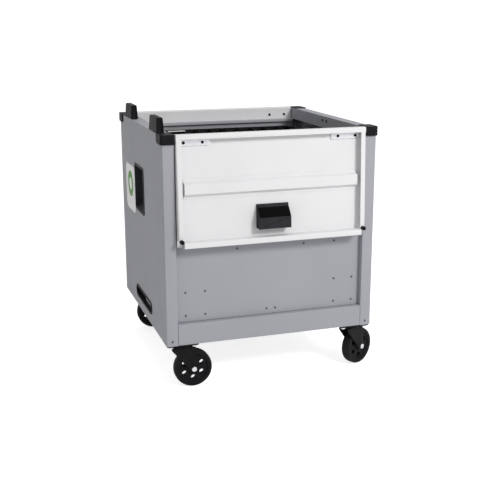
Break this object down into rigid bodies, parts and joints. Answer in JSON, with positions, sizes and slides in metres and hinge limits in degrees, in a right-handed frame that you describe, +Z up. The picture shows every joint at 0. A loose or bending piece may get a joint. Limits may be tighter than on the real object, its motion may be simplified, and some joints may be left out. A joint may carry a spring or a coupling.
{
  "type": "laptop charging cart",
  "caption": "Top-loading sheet-metal charging cart on swivel castors, with upright device racks inside and a lid in two leaves that swing over and hang outside.",
  "frame": {"origin": "on the floor, under the middle of the whole outline at rest", "axes": "+X to the right along the front, -Y towards the front, +Z up"},
  "size_m": [0.7489, 0.755, 0.8655],
  "materials": {
    "grey_paint": "satin light grey powder coat",
    "white_paint": "satin off-white powder coat",
    "black_plastic": "fine-grained black moulding",
    "black_steel": "satin black",
    "zinc": "zinc plate",
    "rubber": "matt black",
    "tyre": "matt black"
  },
  "bodies": {
    "cabinet": {"base_tray": "grey_paint", "front_panel": "grey_paint", "back_panel": "grey_paint", "right_side_panel": "grey_paint", "left_side_panel": "grey_paint", "corner_cap_front_right": "black_plastic", "corner_cap_front_left": "black_plastic", "corner_cap_rear_left": "black_plastic", "corner_cap_rear_right": "black_plastic", "cord_horn_front": "black_plastic", "cord_horn_rear": "black_plastic", "carrying_handle_right": "black_plastic", "carrying_handle_left": "black_plastic", "power_inlet_tray": "black_plastic", "power_inlet_socket": "black_plastic", "lid_rest_right": "black_steel", "lid_rest_left": "black_steel", "equipment_shelf": "black_steel", "device_rack_rear": "black_plastic", "device_rack_front": "black_plastic", "power_strip": "black_plastic", "castor_plate_front_left": "black_steel", "castor_plate_rear_left": "black_steel", "castor_plate_front_right": "black_steel", "castor_plate_rear_right": "black_steel"},
    "front_lid": {"front_lid_pan": "white_paint", "front_lid_rib": "white_paint", "front_lid_pull": "black_plastic", "front_lid_pivot_plate_a": "zinc", "front_lid_pivot_plate_b": "zinc", "front_lid_pivot_pin_a": "zinc", "front_lid_pivot_pin_b": "zinc", "front_lid_buffer_a": "rubber", "front_lid_buffer_b": "rubber"},
    "rear_lid": {"rear_lid_pan": "white_paint", "rear_lid_rib": "white_paint", "rear_lid_pull": "black_plastic", "rear_lid_pivot_plate_a": "zinc", "rear_lid_pivot_plate_b": "zinc", "rear_lid_pivot_pin_a": "zinc", "rear_lid_pivot_pin_b": "zinc", "rear_lid_buffer_a": "rubber", "rear_lid_buffer_b": "rubber"},
    "swivel_front_left": {"castor_fork_front_left": "black_steel", "castor_axle_front_left": "zinc"},
    "swivel_rear_left": {"castor_fork_rear_left": "black_steel", "castor_axle_rear_left": "zinc"},
    "swivel_front_right": {"castor_fork_front_right": "black_steel", "castor_axle_front_right": "zinc"},
    "swivel_rear_right": {"castor_fork_rear_right": "black_steel", "castor_axle_rear_right": "zinc"},
    "wheel_front_left": {"castor_wheel_front_left": "black_plastic", "castor_tyre_front_left": "tyre"},
    "wheel_rear_left": {"castor_wheel_rear_left": "black_plastic", "castor_tyre_rear_left": "tyre"},
    "wheel_front_right": {"castor_wheel_front_right": "black_plastic", "castor_tyre_front_right": "tyre"},
    "wheel_rear_right": {"castor_wheel_rear_right": "black_plastic", "castor_tyre_rear_right": "tyre"}
  },
  "joints": [
    {"name": "front_lid_hinge", "type": "hinge", "parent": "cabinet", "child": "front_lid", "pos_m": [-0.02056, -0.334, 0.80622], "axis": [-1, 0, 0], "range_deg": [-2, 267.7]},
    {"name": "rear_lid_hinge", "type": "hinge", "parent": "cabinet", "child": "rear_lid", "pos_m": [-0.02056, 0.334, 0.80622], "axis": [1, 0, 0], "range_deg": [-2, 267.7]},
    {"name": "swivel_front_left_turn", "type": "hinge", "parent": "cabinet", "child": "swivel_front_left", "pos_m": [-0.31656, -0.3, 0.14222], "axis": [0, 0, 1], "continuous": true},
    {"name": "swivel_rear_left_turn", "type": "hinge", "parent": "cabinet", "child": "swivel_rear_left", "pos_m": [-0.31656, 0.3, 0.14222], "axis": [0, 0, 1], "continuous": true},
    {"name": "swivel_front_right_turn", "type": "hinge", "parent": "cabinet", "child": "swivel_front_right", "pos_m": [0.27544, -0.3, 0.14222], "axis": [0, 0, 1], "continuous": true},
    {"name": "swivel_rear_right_turn", "type": "hinge", "parent": "cabinet", "child": "swivel_rear_right", "pos_m": [0.27544, 0.3, 0.14222], "axis": [0, 0, 1], "continuous": true},
    {"name": "wheel_front_left_roll", "type": "hinge", "parent": "swivel_front_left", "child": "wheel_front_left", "pos_m": [-0.27856, -0.3, 0.06272], "axis": [0, 1, 0], "continuous": true},
    {"name": "wheel_rear_left_roll", "type": "hinge", "parent": "swivel_rear_left", "child": "wheel_rear_left", "pos_m": [-0.27856, 0.3, 0.06272], "axis": [0, 1, 0], "continuous": true},
    {"name": "wheel_front_right_roll", "type": "hinge", "parent": "swivel_front_right", "child": "wheel_front_right", "pos_m": [0.30915, -0.28245, 0.06272], "axis": [-0.4617, 0.887, 0], "continuous": true},
    {"name": "wheel_rear_right_roll", "type": "hinge", "parent": "swivel_rear_right", "child": "wheel_rear_right", "pos_m": [0.31115, 0.313, 0.06272], "axis": [-0.342, 0.9397, 0], "continuous": true}
  ]
}
